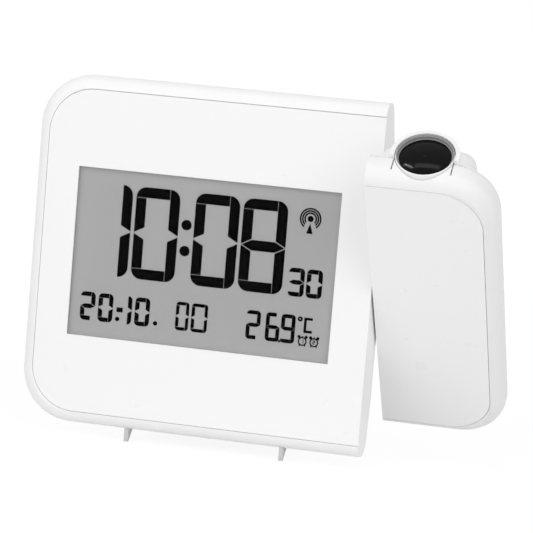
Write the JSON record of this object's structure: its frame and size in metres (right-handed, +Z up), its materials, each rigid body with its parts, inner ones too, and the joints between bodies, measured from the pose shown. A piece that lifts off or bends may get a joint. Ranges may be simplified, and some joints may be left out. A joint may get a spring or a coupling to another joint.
{
  "type": "projection alarm clock",
  "caption": "White bedside alarm clock with a liquid-crystal display, a swivelling projector half, a snooze key on top and a fold-out stand.",
  "frame": {"origin": "centre of the whole outline on the table plane", "axes": "+X runs along the casing from the display half to the projector half, +Y points to the back, +Z is up"},
  "size_m": [0.1508, 0.0758, 0.1141],
  "materials": {
    "white_plastic": "fine satin",
    "pale_plastic": "satin",
    "grey_plastic": "satin",
    "dark_plastic": "matte",
    "strip_rubber": "matte",
    "board": "solder mask",
    "clear_plastic": "polished",
    "display_glass": "grey display film",
    "front_lens_glass": "coated",
    "lens_glass": "polished",
    "steel": "plated",
    "cell_case": "plain sleeve",
    "ferrite": "matt, with a wound coil"
  },
  "bodies": {
    "display_half": {"front_panel": "white_plastic", "display_window": "clear_plastic", "lcd_glass": "display_glass", "light_guide": "clear_plastic", "contact_strip": "strip_rubber", "main_board": "board", "board_parts": "dark_plastic", "key_board": "board", "buzzer": "dark_plastic", "antenna": "ferrite", "case_front": "white_plastic", "case_back": "white_plastic", "battery_cells": "cell_case", "battery_contacts": "steel", "dc_jack": "dark_plastic", "front_feet": "grey_plastic", "stand_pin": "steel", "pivot_bush": "pale_plastic", "case_screws": "steel"},
    "battery_door": {"battery_door": "white_plastic"},
    "snooze_key": {"snooze_key": "white_plastic"},
    "setting_key_1": {"setting_key_1": "pale_plastic"},
    "setting_key_2": {"setting_key_2": "pale_plastic"},
    "setting_key_3": {"setting_key_3": "pale_plastic"},
    "setting_key_4": {"setting_key_4": "pale_plastic"},
    "setting_key_5": {"setting_key_5": "pale_plastic"},
    "alarm_slider": {"alarm_slider": "dark_plastic"},
    "stand_leg": {"stand_leg": "white_plastic"},
    "projector_half": {"arm_panel": "white_plastic", "arm_front": "white_plastic", "arm_back": "white_plastic", "swivel_hub": "pale_plastic", "hub_clip": "steel", "optic_tube": "dark_plastic", "lamp_board": "board", "lamp_led": "clear_plastic", "condenser_lens": "lens_glass", "image_lcd": "dark_plastic", "arm_screws": "steel"},
    "focus_ring": {"focus_ring": "white_plastic", "front_lens": "front_lens_glass"},
    "lens_sleeve": {"lens_sleeve": "dark_plastic", "rear_lens": "lens_glass"}
  },
  "joints": [
    {"name": "arm_swivel", "type": "hinge", "parent": "display_half", "child": "projector_half", "pos_m": [0.03565, 0.00474, 0.059], "axis": [1, 0, 0], "range_deg": [-129, 51]},
    {"name": "focus_turn", "type": "hinge", "parent": "projector_half", "child": "focus_ring", "pos_m": [0.05235, -0.02766, 0.0971], "axis": [0, -0.6293, 0.7771], "range_deg": [-45, 45]},
    {"name": "lens_shift", "type": "slide", "parent": "projector_half", "child": "lens_sleeve", "axis": [0, -0.6293, 0.7771], "range_m": [-0.00078, 0.00078]},
    {"name": "stand_fold", "type": "hinge", "parent": "display_half", "child": "stand_leg", "pos_m": [-0.01535, 0.00374, 0.0115], "axis": [1, 0, 0], "range_deg": [0, 110]},
    {"name": "battery_door_slide", "type": "slide", "parent": "display_half", "child": "battery_door", "axis": [0, 0, -1], "range_m": [0, 0.035]},
    {"name": "alarm_slide", "type": "slide", "parent": "display_half", "child": "alarm_slider", "axis": [1, 0, 0], "range_m": [0, 0.003]},
    {"name": "snooze_press", "type": "slide", "parent": "display_half", "child": "snooze_key", "axis": [0, 0, -1], "range_m": [0, 0.0008], "stiffness_N_per_m": 300, "springref_m": -0.001},
    {"name": "setting_key_1_press", "type": "slide", "parent": "display_half", "child": "setting_key_1", "axis": [0, -0.9033, -0.4289], "range_m": [0, 0.0006], "stiffness_N_per_m": 200, "springref_m": -0.001},
    {"name": "setting_key_2_press", "type": "slide", "parent": "display_half", "child": "setting_key_2", "axis": [0, -0.9033, -0.4289], "range_m": [0, 0.0006], "stiffness_N_per_m": 200, "springref_m": -0.001},
    {"name": "setting_key_3_press", "type": "slide", "parent": "display_half", "child": "setting_key_3", "axis": [0, -0.9033, -0.4289], "range_m": [0, 0.0006], "stiffness_N_per_m": 200, "springref_m": -0.001},
    {"name": "setting_key_4_press", "type": "slide", "parent": "display_half", "child": "setting_key_4", "axis": [0, -0.9033, -0.4289], "range_m": [0, 0.0006], "stiffness_N_per_m": 200, "springref_m": -0.001},
    {"name": "setting_key_5_press", "type": "slide", "parent": "display_half", "child": "setting_key_5", "axis": [0, -0.9033, -0.4289], "range_m": [0, 0.0006], "stiffness_N_per_m": 200, "springref_m": -0.001}
  ],
  "couplings": [
    {"joint": "focus_turn", "follows": "lens_shift", "rad_per_m": 981.75}
  ]
}
